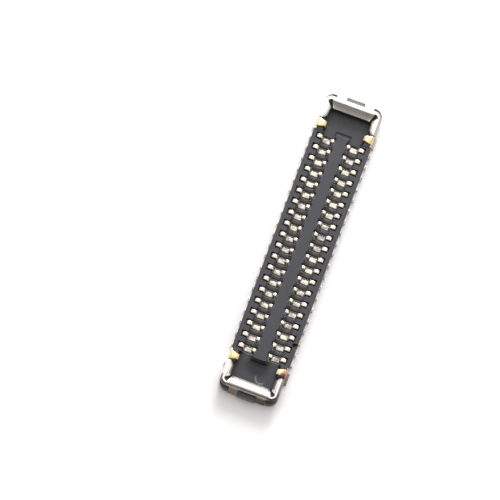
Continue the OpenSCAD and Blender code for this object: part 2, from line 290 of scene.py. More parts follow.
@dataclass(frozen=True)
class MouldedPlastic:
    """Charcoal glass-filled thermoplastic with a fine, slightly glossy skin.

    Noises are given as grain and detail, and the places where a tone starts or stops as edge and
    blur. Ovals are half sizes along X and Y. Shares say how much of a tone covers. Some tones are
    painted shade and light: shade in the channels, the end corners and the nick, the island's shadow on
    the floor, and light on the end noses, the island's ends and the middles of the ribs.
    """
    name: str = "housing_plastic"
    light: tuple = (0.046, 0.046, 0.06)
    dark: tuple = (0.028, 0.028, 0.036)
    tone_shares: tuple = (0.8, 0.3)
    cloud: tuple = (0.9, 4)
    grain: tuple = (0.03, 5)
    relief: float = 0.003
    least_rough: float = 0.24
    rough_shares: tuple = (0.15, 0.2)
    flake: tuple = (0.2, 0.2, 0.22)
    flake_share: float = 0.25
    flakes: tuple = (0.02, 2)
    flake_step: tuple = (0.66, 0.04)
    # Painted shade: a near-black tone in the channels beside the island, less in the left row, and in the
    # end corners and the nick.
    painted_shade: tuple = (0.012, 0.011, 0.008)
    painted_shade_share: float = 0.9
    channel_shade_share: float = 0.8
    left_less: float = 0.25
    left_step: tuple = (0, 0.1)
    channel_mid: float = 0.41
    channel_half: tuple = (0.17, 0.02)
    channel_top: tuple = (0.4, 0.06)
    rows_end: tuple = (3.48, 0.03)
    # Painted sheen: a warm olive tone on the middles of the ribs in the channels.
    painted_rib_sheen: tuple = (0.056, 0.046, 0.034)
    rib_sheen_share: float = 0.8
    pitch: float = 0.35
    rib_half: tuple = (0.032, 0.014)
    nick_at: tuple = (-2.8, -0.83)
    nick_oval: tuple = (0.065, 0.12)
    nick_step: tuple = (1, 0.1)
    nick_foot: tuple = (0.32, 0.02)
    end_from: tuple = (4.61, 0.01)
    corners_from: tuple = (0.6, 0.06)
    # Painted light: a paler tone laid on the noses at both ends.
    painted_nose_light: tuple = (0.11, 0.11, 0.105)
    nose_light_share: float = 0.85
    nose_half: tuple = (0.45, 0.08)
    floor_z: tuple = (0.17, 0.01)
    # Painted shadow: a dark oval that the island's near end would cast on the cavity's floor.
    laid_over: tuple = (0.013, 0.013, 0.018)
    island_shadow_share: float = 0.9
    island_shadow_at: tuple = (-3.76, 0.02)
    island_shadow_oval: tuple = (0.26, 0.42)
    island_shadow_step: tuple = (0.85, 0.25)
    # A short pale bent line on the near cavity floor.
    pale_line_tone: tuple = (0.42, 0.37, 0.36)
    pale_line_share: float = 0.8
    pale_line_at: tuple = (-4.0, -0.22)
    pale_line_r: float = 0.165
    pale_line_w: tuple = (0.024, 0.012)
    pale_line_to_x: tuple = (-3.99, 0.05)
    pale_line_to_y: tuple = (-0.33, 0.03)
    pale_line_gaps: tuple = (0.05, 3)
    pale_line_step: tuple = (0.45, 0.2)
    # Painted light: a paler tone on the island's shaded sloping ends.
    painted_island_end_light: tuple = (0.105, 0.105, 0.118)
    island_end_light_share: float = 0.8
    island_lean: float = 11.0
    island_z: float = 0.15
    island_from: tuple = (3.587, 0.004)
    island_to: tuple = (3.625, 0.005)
    island_half: tuple = (0.3, 0.01)
    island_low: tuple = (0.02, 0.01)

    def channels(self, recipe: Recipe) -> Level:
        """Where the plastic lies in the channels beside the island.

        Args:
            recipe: the material's node tree.

        Returns:
            A level, 1 deep in a channel.
        """
        across = (recipe.coordinate("Y").size() - self.channel_mid).size()
        inside = across.below(*self.channel_half) * recipe.coordinate("X").size().below(*self.rows_end)
        return inside * recipe.coordinate("Z").below(*self.channel_top)

    def ribs(self, recipe: Recipe) -> Level:
        """Where the middles of the ribs between the springs lie, at any place across the rows.

        Args:
            recipe: the material's node tree.

        Returns:
            A level, 1 on the middle of a rib.
        """
        from_rib = ((recipe.coordinate("X") / self.pitch + 0.5).apply("FRACT") - 0.5).size() * self.pitch
        return from_rib.below(*self.rib_half)

    def nick(self, recipe: Recipe) -> Level:
        """Where the nick in the right wall lies.

        Args:
            recipe: the material's node tree.

        Returns:
            A level, 1 in the nick.
        """
        inside = recipe.from_middle(self.nick_at, self.nick_oval).below(*self.nick_step)
        return inside * recipe.coordinate("Z").above(*self.nick_foot)

    def island_ends(self, recipe: Recipe) -> Level:
        """Where the island's sloping ends lie, which get painted light.

        Args:
            recipe: the material's node tree.

        Returns:
            A level, 1 on the ends.
        """
        rise = recipe.coordinate("Z") - self.island_z
        foot = recipe.coordinate("X").size() + rise * math.tan(math.radians(self.island_lean))
        inside = foot.below(*self.island_to) * recipe.coordinate("Y").size().below(*self.island_half)
        return foot.above(*self.island_from) * inside * rise.above(*self.island_low)

    def island_shadow(self, recipe: Recipe) -> Level:
        """Where the island's painted shadow lies on the cavity's floor in front of it.

        Args:
            recipe: the material's node tree.

        Returns:
            A level, 1 in the middle of the shadow.
        """
        inside = recipe.from_middle(self.island_shadow_at, self.island_shadow_oval).below(*self.island_shadow_step)
        return inside * recipe.coordinate("Z").below(*self.floor_z)

    def pale_line(self, recipe: Recipe) -> Level:
        """Where a short, pale, bent line lies on the cavity's floor, broken into pieces.

        Args:
            recipe: the material's node tree.

        Returns:
            A level, 1 along the line.
        """
        line = (recipe.from_middle(self.pale_line_at) - self.pale_line_r).size().below(*self.pale_line_w)
        near = recipe.coordinate("X").below(*self.pale_line_to_x)
        left = recipe.coordinate("Y").above(*self.pale_line_to_y)
        low = recipe.coordinate("Z").below(*self.floor_z)
        return line * near * left * low * recipe.noise(*self.pale_line_gaps).above(*self.pale_line_step)

    def make(self) -> bpy.types.Material:
        """Builds the material.

        Returns:
            The material.
        """
        recipe = Recipe(self.name)
        cloud, grain = recipe.noise(*self.cloud), recipe.noise(*self.grain)
        aside = recipe.coordinate("Y").size()
        ends = recipe.coordinate("X").size().above(*self.end_from)
        channels, ribs = self.channels(recipe), self.ribs(recipe)
        depth = self.channel_shade_share - recipe.coordinate("Y").above(*self.left_step) * self.left_less
        # Painted shade in the end corners and in the nick.
        dark = (ends * aside.above(*self.corners_from) + self.nick(recipe)) * self.painted_shade_share
        layers = (
            (recipe.noise(*self.flakes).above(*self.flake_step) * self.flake_share, self.flake),
            # Painted light on the noses at both ends.
            (ends * aside.below(*self.nose_half) * self.nose_light_share, self.painted_nose_light),
            # Painted shade in the channels between the ribs, and in the end corners and the nick.
            ((channels * (1 - ribs) * depth + dark).clamped(), self.painted_shade),
            # Painted warm sheen on the middles of the ribs.
            (channels * ribs * self.rib_sheen_share, self.painted_rib_sheen),
            # Painted shadow of the island on the floor in front of it.
            (self.island_shadow(recipe) * self.island_shadow_share, self.laid_over),
            # Painted light on the island's sloping ends.
            (self.island_ends(recipe) * self.island_end_light_share, self.painted_island_end_light),
            # A pale bent line on the near cavity floor.
            (self.pale_line(recipe) * self.pale_line_share, self.pale_line_tone))
        tone = cloud * self.tone_shares[0] + grain * self.tone_shares[1]
        tint = recipe.mix(tone.clamped(), self.dark, self.light)
        for share, colour in layers:
            tint = recipe.mix(share, tint, colour)
        rough = cloud * self.rough_shares[0] + grain * self.rough_shares[1] + self.least_rough
        recipe.feed(Base_Color=tint, Roughness=rough, Normal=recipe.bump(grain, self.relief))
        return recipe.material


@dataclass(frozen=True)
class PlatedMetal:
    """Thin bright plating over formed sheet metal. Noises and steps are given as in MouldedPlastic."""
    name: str
    light: tuple
    dark: tuple
    least_rough: float = 0.28
    rough_shares: tuple = (0.12, 0.08)
    relief: float = 0.0004
    cloud: tuple = (0.35, 3)
    cloud_step: tuple = (0.5, 0.2)
    grain: tuple = (0.02, 3, (1, 1, 4))

    def laid_over(self, recipe: Recipe, tint: bpy.types.NodeSocket, cloud: Level) -> bpy.types.NodeSocket:
        """Lays other tones over the plating: none here.

        Args:
            recipe: the material's node tree, not used here.
            tint: the plating's colour.
            cloud: a slow pattern over the piece, not used here.

        Returns:
            The colour socket.
        """
        return tint

    def make(self) -> bpy.types.Material:
        """Builds the material.

        Returns:
            The material.
        """
        recipe = Recipe(self.name)
        cloud, grain = recipe.noise(*self.cloud), recipe.noise(*self.grain)
        plating = recipe.mix(cloud.above(*self.cloud_step), self.dark, self.light)
        tint = self.laid_over(recipe, plating, cloud)
        rough = cloud * self.rough_shares[0] + grain * self.rough_shares[1] + self.least_rough
        recipe.feed(Base_Color=tint, Roughness=rough, Metallic=1.0, Normal=recipe.bump(grain, self.relief))
        return recipe.material


@dataclass(frozen=True)
class SpringMetal(PlatedMetal):
    """Bright strip with streaked painted shade along the bottom of its springs."""
    name: str = "contact_metal"
    light: tuple = (0.97, 0.93, 0.84)
    dark: tuple = (0.88, 0.8, 0.66)
    # Painted shade: a dim mauve-grey tone on the bottom of the springs, deep in the channels.
    spring_shade: tuple = (0.3, 0.27, 0.285)
    spring_shade_below: tuple = (0.2, 0.05)
    spring_shade_clouds: tuple = (0.5, 0.12)
    streaks: tuple = (0.06, 2, (1, 2.5, 2.5))
    streak_step: tuple = (0.5, 0.08)
    streak_share: float = 0.6
    cloud_share: float = 0.3
    least_share: float = 0.05

    def laid_over(self, recipe: Recipe, tint: bpy.types.NodeSocket, cloud: Level) -> bpy.types.NodeSocket:
        """Paints streaked shade on the bottom of the springs.

        Args:
            recipe: the material's node tree.
            tint: the plating's colour.
            cloud: a slow pattern over the piece.

        Returns:
            The colour socket.
        """
        streaks = recipe.noise(*self.streaks).above(*self.streak_step) * self.streak_share
        share = streaks + cloud.above(*self.spring_shade_clouds) * self.cloud_share + self.least_share
        return recipe.mix(recipe.coordinate("Z").below(*self.spring_shade_below) * share.clamped(), tint, self.spring_shade)


@dataclass(frozen=True)
class CoverMetal(PlatedMetal):
    """Nickel plating with gold on the power tabs and legs, with painted shade in mauve and brown at the
    near end and on the right, and a dark spot on the near right tab.

    An inset is how far a place lies inside the outline. Pairs of shares are the least one and what is
    added to it in the near or right half.
    """
    name: str = "cover_metal"
    light: tuple = (0.93, 0.92, 0.9)
    dark: tuple = (0.84, 0.82, 0.78)
    least_rough: float = 0.2
    pale_gold: tuple = (0.98, 0.83, 0.53)
    deep_gold: tuple = (0.72, 0.49, 0.24)
    gold_step: tuple = (0.42, 0.25)
    wander: tuple = (0.08, 2)
    wander_by: float = 0.05
    tab_mid: float = 3.7
    tab_half: tuple = (0.14, 0.015)
    tab_foot: tuple = (0.2, 0.04)
    legs_from: tuple = (4.6, 0.01)
    legs_below: tuple = (0.4, 0.03)
    corner_x: float = 4.375
    corner_y: float = 0.67
    corner_r: float = 0.22
    patches: tuple = (0.12, 3)
    patch_step: tuple = (0.45, 0.3)
    patch_share: float = 0.25
    near_half: tuple = (0, 0.5)
    right_half: tuple = (0, 0.1)
    right_from: tuple = (0.62, 0.06)
    end_from: tuple = (4.3, 0.02)
    rim_half: tuple = (0.64, 0.05)
    # Painted shade: a reddish brown over the outer part of the right tabs, more at the near end.
    copper_shade: tuple = (0.42, 0.22, 0.15)
    copper_shade_inset: tuple = (0.15, 0.04)
    copper_shade_shares: tuple = (0.35, 0.5)
    # Painted shade: a mauve brown over the near rim's band, the right arms' edges and the flaps' starts.
    painted_shade_mauve: tuple = (0.26, 0.218, 0.198)
    band_inset: tuple = (0.118, 0.006)
    band_share: float = 0.82
    arm_inset: tuple = (0.065, 0.02)
    arm_shares: tuple = (0.8, 0.5)
    tip_from: tuple = (3.845, 0.01)
    tip_to: tuple = (3.95, 0.06)
    tip_inset: tuple = (0.1, 0.02)
    tip_share: float = 0.75
    # Painted shade: a dark brown over the near legs, the near outer corners and the near right skirt, and a
    # dark spot on the near right tab.
    shade_and_spot_brown: tuple = (0.1, 0.062, 0.047)
    leg_shares: tuple = (0.55, 0.4)
    corner_inset: tuple = (0.05, 0.015)
    corner_share: float = 0.9
    skirt_from: tuple = (3, 0.4)
    skirt_inset: tuple = (-0.008, 0.01)
    skirt_share: float = 0.45
    dark_spot_at: tuple = (-3.785, -0.79)
    dark_spot_r: tuple = (0.095, 0.03)
    dark_spot_share: float = 0.9

    def gilt(self, recipe: Recipe) -> Level:
        """Where gold lies over the plating.

        Args:
            recipe: the material's node tree.

        Returns:
            A level, 1 where there is gold.
        """
        wander = (recipe.noise(*self.wander) - 0.5) * self.wander_by
        along, height = recipe.coordinate("X").size() + wander, recipe.coordinate("Z") + wander
        tab = (along - self.tab_mid).size().below(*self.tab_half) * height.above(*self.tab_foot)
        leg = along.above(*self.legs_from) * height.below(*self.legs_below)
        return (tab + leg).clamped()

    def laid_over(self, recipe: Recipe, tint: bpy.types.NodeSocket, cloud: Level) -> bpy.types.NodeSocket:
        """Lays gold on the tabs and legs, painted shade on the near rim, the near legs, the right side and
        the flaps' starts, and a dark spot on the near right tab.

        Args:
            recipe: the material's node tree.
            tint: the plating's colour.
            cloud: a slow pattern over the piece.

        Returns:
            The colour socket.
        """
        near, right = 0 - recipe.coordinate("X"), 0 - recipe.coordinate("Y")
        along, aside = near.size(), right.size()
        inset = self.corner_r - along.past(self.corner_x).length(aside.past(self.corner_y))
        patches = recipe.noise(*self.patches).above(*self.patch_step)
        patchy = patches * self.patch_share + (1 - self.patch_share)
        near_half, near_end = near.above(*self.near_half), near.above(*self.end_from)
        right_side = right.above(*self.right_from)
        gilt = self.gilt(recipe)
        gold = recipe.mix(cloud.above(*self.gold_step), self.deep_gold, self.pale_gold)
        # Painted shade in reddish brown on the outer part of the right tabs.
        tabs = gilt * inset.below(*self.copper_shade_inset) * right_side * along.below(*self.end_from)
        copper_shade = tabs * patchy * (near_half * self.copper_shade_shares[1] + self.copper_shade_shares[0])
        # Painted shade in mauve on the near rim's band, the right arms' edges and the flaps' starts.
        band = near_end * inset.below(*self.band_inset) * aside.below(*self.rim_half)
        arms = right_side * inset.below(*self.arm_inset) * (1 - tabs)
        arms = arms * (near_half * self.arm_shares[1] + self.arm_shares[0])
        tips = along.below(*self.tip_to) * along.above(*self.tip_from) * inset.above(*self.tip_inset)
        mauve_shade_share = (band * self.band_share + arms + tips * self.tip_share) * patchy
        # Painted shade in dark brown on the near legs, more on the right, on the near corners and on the
        # near right skirt.
        legs = right.above(*self.right_half) * self.leg_shares[1] + self.leg_shares[0]
        corner = near_end * aside.above(*self.rim_half) * inset.below(*self.corner_inset)
        skirt = right_side * near.above(*self.skirt_from) * inset.below(*self.skirt_inset)
        # A dark brown spot on the near right tab.
        spot = recipe.from_middle(self.dark_spot_at).below(*self.dark_spot_r)
        shade_and_spot = (near.above(*self.legs_from) * legs + corner * self.corner_share + skirt * self.skirt_share
                + spot * self.dark_spot_share)
        for share, colour in ((gilt, gold), (copper_shade, self.copper_shade), (mauve_shade_share.clamped(), self.painted_shade_mauve),
                              (shade_and_spot.clamped(), self.shade_and_spot_brown)):
            tint = recipe.mix(share, tint, colour)
        return tint


@dataclass
class Studio:
    """Pale floor, soft lights and the camera. Panels are a name, a place, a size and a radiance."""
    scale: float = 34.2
    image: float = 500.0
    lens: float = 200.0
    sensor: float = 36.0
    clip: tuple = (0.001, 10.0)
    over_near: float = 11.0
    over_right: float = 3.0
    row_angle: float = 69.3
    centre_px: tuple = (301.5, 248.4)
    look_z: float = 0.3
    panels: tuple = (("key", (63, 5, 47), (26, 26), 18.0),
                     ("near_panel", (-100, 0, 25), (90, 30), 0.25),
                     ("overhead", (45, 0, 85), (130, 150), 1.3),
                     ("left_panel", (20, 95, 40), (120, 60), 1.3),
                     ("right_panel", (20, -95, 40), (120, 60), 1.3),
                     ("far_panel", (105, 0, 35), (120, 60), 1.4))
    room: tuple = (0.92, 0.84, 0.76)
    room_glow: float = 0.23
    ground: tuple = (0.92, 0.92, 0.92)
    ground_z: float = -0.002
    ground_rough: float = 0.9
    ground_glow: float = 0.05

    def camera(self) -> None:
        """Places the camera over the near end, a little to the right."""
        near, right = math.radians(self.over_near), math.radians(self.over_right)
        back = Vector((-math.tan(near), -math.tan(right), 1)).normalized()
        along = (Vector((1, 0, 0)) - back * back.x).normalized()
        left = back.cross(along)
        turn = math.radians(self.row_angle)
        right = along * math.cos(turn) - left * math.sin(turn)
        up = along * math.sin(turn) + left * math.cos(turn)
        reach = self.image / self.sensor * self.lens / self.scale
        aside = (self.centre_px[0] - self.image / 2) / self.scale
        above = (self.image / 2 - self.centre_px[1]) / self.scale
        place = Vector((0, 0, self.look_z)) + back * reach - right * aside - up * above
        data = bpy.data.cameras.new("camera")
        data.lens, data.sensor_width = self.lens, self.sensor
        data.clip_start, data.clip_end = self.clip
        camera = bpy.data.objects.new("camera", data)
        bpy.context.scene.collection.objects.link(camera)
        turned = Matrix((right, up, back)).transposed().to_4x4()
        camera.matrix_world = Matrix.Translation(place * MM) @ turned
        bpy.context.scene.camera = camera

    def panel(self, name: str, place: Sequence[float], size: Sequence[float], glow: float) -> None:
        """Adds a soft box that faces the part.

        Args:
            name: the light's name.
            place: its place in millimetres.
            size: its width and length in millimetres.
            glow: its radiance.
        """
        data = bpy.data.lights.new(name, "AREA")
        data.shape, data.size, data.size_y = "RECTANGLE", size[0] * MM, size[1] * MM
        data.energy = glow * math.pi * size[0] * size[1] * MM * MM
        lamp = bpy.data.objects.new(name, data)
        bpy.context.scene.collection.objects.link(lamp)
        lamp.location = Vector(place) * MM
        lamp.rotation_euler = (-Vector(place)).to_track_quat("-Z", "Y").to_euler()

    def lights(self) -> None:
        """Lights the part softly from all sides but the near one, with a key light at the far end."""
        for name, place, size, glow in self.panels:
            self.panel(name, place, size, glow)
        world = bpy.data.worlds.new("room")
        world.use_nodes = True
        background = world.node_tree.nodes["Background"]
        background.inputs[0].default_value = opaque(self.room)
        background.inputs[1].default_value = self.room_glow
        bpy.context.scene.world = world

    def floor(self) -> None:
        """Lays the plain pale floor just under the part."""
        bpy.ops.object.select_all(action="DESELECT")
        bpy.ops.mesh.primitive_plane_add(size=1.0, location=(0, 0, self.ground_z * MM))
        floor = bpy.context.object
        floor.name = "floor"
        recipe = Recipe("pale_floor")
        recipe.feed(Base_Color=opaque(self.ground), Roughness=self.ground_rough,
                    Emission_Color=(1, 1, 1, 1), Emission_Strength=self.ground_glow)
        floor.data.materials.append(recipe.material)


def only(place: float) -> tuple:
    """The span that holds one place."""
    return place, place


def within(point: Vector, spans: dict) -> bool:
    """Tells whether a point lies in a box.

    Args:
        point: the point in millimetres.
        spans: the box's two ends along x, y, z or aside, which is the distance from the middle plane.

    Returns:
        Whether it does.
    """
    places = {"x": point.x, "y": point.y, "z": point.z, "aside": abs(point.y)}
    return all(low - PLACE < places[axis] < high + PLACE for axis, (low, high) in spans.items())


def pick(piece: bpy.types.Object) -> None:
    """Selects one object alone and makes it the active one.

    Args:
        piece: the object.
    """
    bpy.ops.object.select_all(action="DESELECT")
    piece.select_set(True)
    bpy.context.view_layer.objects.active = piece


def pick_parts(piece: bpy.types.Object, kind: str, wanted: Callable[[object], bool]) -> None:
    """Selects parts of a mesh in edit mode.

    Args:
        piece: the object.
        kind: the select mode: VERT, EDGE or FACE.
        wanted: tells of a part of the bmesh whether it is selected.
    """
    bpy.ops.mesh.select_mode(type=kind)
    bpy.ops.mesh.select_all(action="DESELECT")
    mesh = bmesh.from_edit_mesh(piece.data)
    for part in {"VERT": mesh.verts, "EDGE": mesh.edges, "FACE": mesh.faces}[kind]:
        if wanted(part):
            part.select_set(True)
    bmesh.update_edit_mesh(piece.data)


class Bench:
    """One mesh, worked on with edit-mode operators. Sizes are in millimetres and turns in degrees."""

    def __init__(self, name: str, at: Sequence[float], size: Sequence[float],
                 turn: Sequence[float] = (0, 0, 0)) -> None:
        """Starts from a plane.

        Args:
            name: the object's name.
            at: the plane's centre.
            size: its length along its own X and Y.
            turn: its turn about X, Y and Z.
        """
        bpy.ops.object.select_all(action="DESELECT")
        rotation = [math.radians(angle) for angle in turn]
        bpy.ops.mesh.primitive_plane_add(size=1.0, location=Vector(at) * MM, rotation=rotation)
        self.piece = bpy.context.object
        self.piece.name = name
        self.piece.scale = (size[0] * MM, size[1] * MM, 1)
        bpy.ops.object.transform_apply(location=True, rotation=True, scale=True)
        bpy.ops.object.mode_set(mode="EDIT")
        bpy.ops.mesh.select_all(action="SELECT")

    def round_corners(self, radius: float, steps: int) -> None:
        """Rounds the selected corners of a flat face."""
        bpy.ops.mesh.bevel(offset=radius * MM, segments=steps, affect="VERTICES")

    def extrude(self, *ways: Sequence[float]) -> None:
        """Extrudes the selection along one way after another."""
        for way in ways:
            bpy.ops.mesh.extrude_region_move(TRANSFORM_OT_translate={"value": Vector(way) * MM})

    def widen(self, factors: Sequence[float], about: Sequence[float] = (0, 0, 0)) -> None:
        """Scales the selection about a point."""
        bpy.ops.transform.resize(value=factors, center_override=Vector(about) * MM)

    def spin(self, centre: Sequence[float], axis: Sequence[float], angle: float, steps: int) -> None:
        """Sweeps the selection round an axis by the right-hand rule."""
        turn = -math.radians(angle)
        bpy.ops.mesh.spin(steps=steps, angle=turn, center=Vector(centre) * MM, axis=axis)

    def pick_edges(self, **spans: tuple) -> None:
        """Selects the open edges that have both ends in a box, given as for within()."""
        pick_parts(self.piece, "EDGE", lambda edge: edge.is_boundary and all(
            within(vert.co / MM, spans) for vert in edge.verts))

    def close(self) -> bpy.types.Object:
        """Merges doubles, turns the faces outwards and leaves edit mode.

        Returns:
            The object.
        """
        bpy.ops.mesh.select_all(action="SELECT")
        bpy.ops.mesh.remove_doubles(threshold=WELD * MM)
        bpy.ops.mesh.normals_make_consistent(inside=False)
        bpy.ops.object.mode_set(mode="OBJECT")
        return self.piece


def apply_modifier(piece: bpy.types.Object, kind: str, **settings: object) -> None:
    """Adds a modifier and applies it.

    Args:
        piece: the object.
        kind: the modifier's type.
        settings: the modifier's properties.
    """
    pick(piece)
    modifier = piece.modifiers.new(kind.lower(), kind)
    for name, value in settings.items():
        setattr(modifier, name, value)
    bpy.ops.object.modifier_apply(modifier=modifier.name)


def press_down(piece: bpy.types.Object, height: float) -> None:
    """Flattens whatever a bevel has lifted above a height.

    Args:
        piece: the object.
        height: the height in millimetres.
    """
    bpy.ops.object.mode_set(mode="EDIT")
    pick_parts(piece, "VERT", lambda vert: vert.co.z > (height + LEVEL) * MM)
    bpy.ops.transform.resize(value=(1, 1, 0), center_override=(0, 0, height * MM))
    bpy.ops.object.mode_set(mode="OBJECT")


def smooth(piece: bpy.types.Object, angle: float,
           stays_flat: Optional[Callable[[bmesh.types.BMFace], bool]] = None) -> None:
    """Shades a piece smooth, apart from its sharp edges and the faces that are to stay flat.

    Args:
        piece: the object.
        angle: edges sharper than this many degrees stay sharp.
        stays_flat: tells of a face whether it is shaded flat.
    """
    pick(piece)
    bpy.ops.object.shade_smooth_by_angle(angle=math.radians(angle))
    if stays_flat is not None:
        bpy.ops.object.mode_set(mode="EDIT")
        pick_parts(piece, "FACE", stays_flat)
        bpy.ops.mesh.faces_shade_flat()
        bpy.ops.object.mode_set(mode="OBJECT")
    apply_modifier(piece, "WEIGHTED_NORMAL", keep_sharp=True)


def copy_of(piece: bpy.types.Object, name: str, move: Matrix) -> bpy.types.Object:
    """Copies a piece with a mesh of its own.

    Args:
        piece: the object to copy.
        name: the copy's name.
        move: where the copy's mesh goes.

    Returns:
        The copy.
    """
    copy = piece.copy()
    copy.data = piece.data.copy()
    copy.data.transform(move)
    copy.name = copy.data.name = name
    bpy.context.scene.collection.objects.link(copy)
    return copy


def settle(piece: bpy.types.Object, node: str, finish: bpy.types.Material) -> None:
    """Gives a piece its finish and lets it stand for a CAD node.

    Args:
        piece: the object.
        node: the node that it replaces.
        finish: its material.
    """
    piece.data.materials.clear()
    piece.data.materials.append(finish)
    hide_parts(node)
    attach(piece, "root")
    LOG.info("%s: %d faces", piece.name, len(piece.data.polygons))


@dataclass
class ContactRows:
    """Two rows of formed strips, each with tail, barbs, hook, spring and rounded tip."""
    pitch: float = 0.35
    per_row: int = 20
    hook_y: float = 0.65
    spring_w: float = 0.16
    hook_w: float = 0.12
    tip_w: float = 0.1
    barb_w: float = 0.19
    thick: float = 0.06
    edge: float = 0.02
    hook_r: float = 0.04
    bend_r: float = 0.035
    tip_r: float = 0.03
    tip_flat: float = 0.04
    lean: float = 8.0
    hook_top: float = 0.53
    tip_top: float = 0.43
    lift: float = 0.03
    tail_y: float = 0.95
    tip_y: float = 0.24
    end_taper: tuple = (0.8, 0.7)
    end_l: float = 0.01
    barb_in: tuple = (0.01, 0.008)
    barb_out: tuple = (0.035, 0.055)
    flare: tuple = (0.015, 0.025)
    arm_parts: tuple = (0.25, 0.75)
    corner_cuts: int = 3
    foot_cuts: int = 6
    hook_cuts: int = 12
    bend_cuts: int = 7
    sharp: float = 40.0
    across: tuple = (1, 0, 0)

    def strip(self) -> bpy.types.Object:
        """Models one contact of the left row at X = 0, from its tail to its tip.

        Returns:
            The object.
        """
        half = self.thick / 2
        outer, inner = self.hook_y + self.hook_r, self.hook_y - self.hook_r - self.thick
        hook_z = self.hook_top - self.hook_r - self.thick
        foot_y, foot_z = outer + self.thick + self.bend_r, self.thick + self.bend_r
        low_z = self.lift + self.thick + self.bend_r
        low_out = inner - self.bend_r
        tip_z = self.tip_top - self.tip_r - self.thick
        lean = math.radians(self.lean)
        gap = self.tip_r + self.thick + self.bend_r
        low_in = self.tip_y + (gap - (tip_z - low_z) * math.sin(lean)) / math.cos(lean)
        arm = (tip_z - low_z) * math.cos(lean) - (low_in - self.tip_y) * math.sin(lean)

        narrow, flat = self.end_taper
        end = (0, self.tail_y, half)
        bench = Bench("contact", end, (self.hook_w, self.thick), (90, 0, 0))
        bench.round_corners(self.edge, self.corner_cuts)
        bench.widen((narrow, 1, flat), end)
        bench.extrude((0, -self.end_l, 0))
        bench.widen((1 / narrow, 1, 1 / flat), end)
        bench.extrude((0, foot_y - self.tail_y + self.end_l, 0))
        bench.spin((0, foot_y, foot_z), self.across, -90, self.foot_cuts)
        bench.extrude(*((0, 0, rise) for rise in self.barb_in))
        bench.widen((self.barb_w / self.hook_w, 1, 1))
        bench.extrude(*((0, 0, rise) for rise in self.barb_out))
        bench.widen((self.hook_w / self.barb_w, 1, 1))
        bench.extrude((0, 0, hook_z - foot_z - sum(self.barb_in + self.barb_out)))
        bench.spin((0, self.hook_y, hook_z), self.across, 180, self.hook_cuts)
        bench.extrude(*((0, 0, -drop) for drop in self.flare))
        bench.widen((self.spring_w / self.hook_w, 1, 1))
        bench.extrude((0, 0, low_z - hook_z + sum(self.flare)))
        bench.spin((0, low_out, low_z), self.across, -90, self.bend_cuts)
        bench.extrude((0, low_in - low_out, 0))
        bench.spin((0, low_in, low_z), self.across, -90 - self.lean, self.bend_cuts)
        climb = Vector((0, math.sin(lean), math.cos(lean))) * arm
        bench.extrude(*(climb * part for part in self.arm_parts))
        bench.widen((self.tip_w / self.spring_w, 1, 1))
        bench.spin((0, self.tip_y, tip_z), self.across, 90 + self.lean, self.bend_cuts)
        bench.extrude((0, self.end_l - self.tip_flat, 0))
        bench.extrude((0, -self.end_l, 0))
        bench.widen((narrow, 1, flat), (0, self.tip_y, self.tip_top - half))
        piece = bench.close()
        smooth(piece, self.sharp)
        return piece

    def build(self, finish: bpy.types.Material) -> None:
        """Copies the strip to every place in both rows.

        Args:
            finish: the contacts' material.
        """
        strip = self.strip()
        for row in Row:
            turn = Matrix.Rotation(0 if row is Row.LEFT else math.pi, 4, "Z")
            for i in range(self.per_row):
                x = (i - (self.per_row - 1) / 2) * self.pitch
                node = f"contact_{row.name.lower()}_{i + 1:02d}"
                copy = copy_of(strip, f"formed_{node}", Matrix.Translation((x * MM, 0, 0)) @ turn)
                settle(copy, node, finish)
        bpy.data.objects.remove(strip)


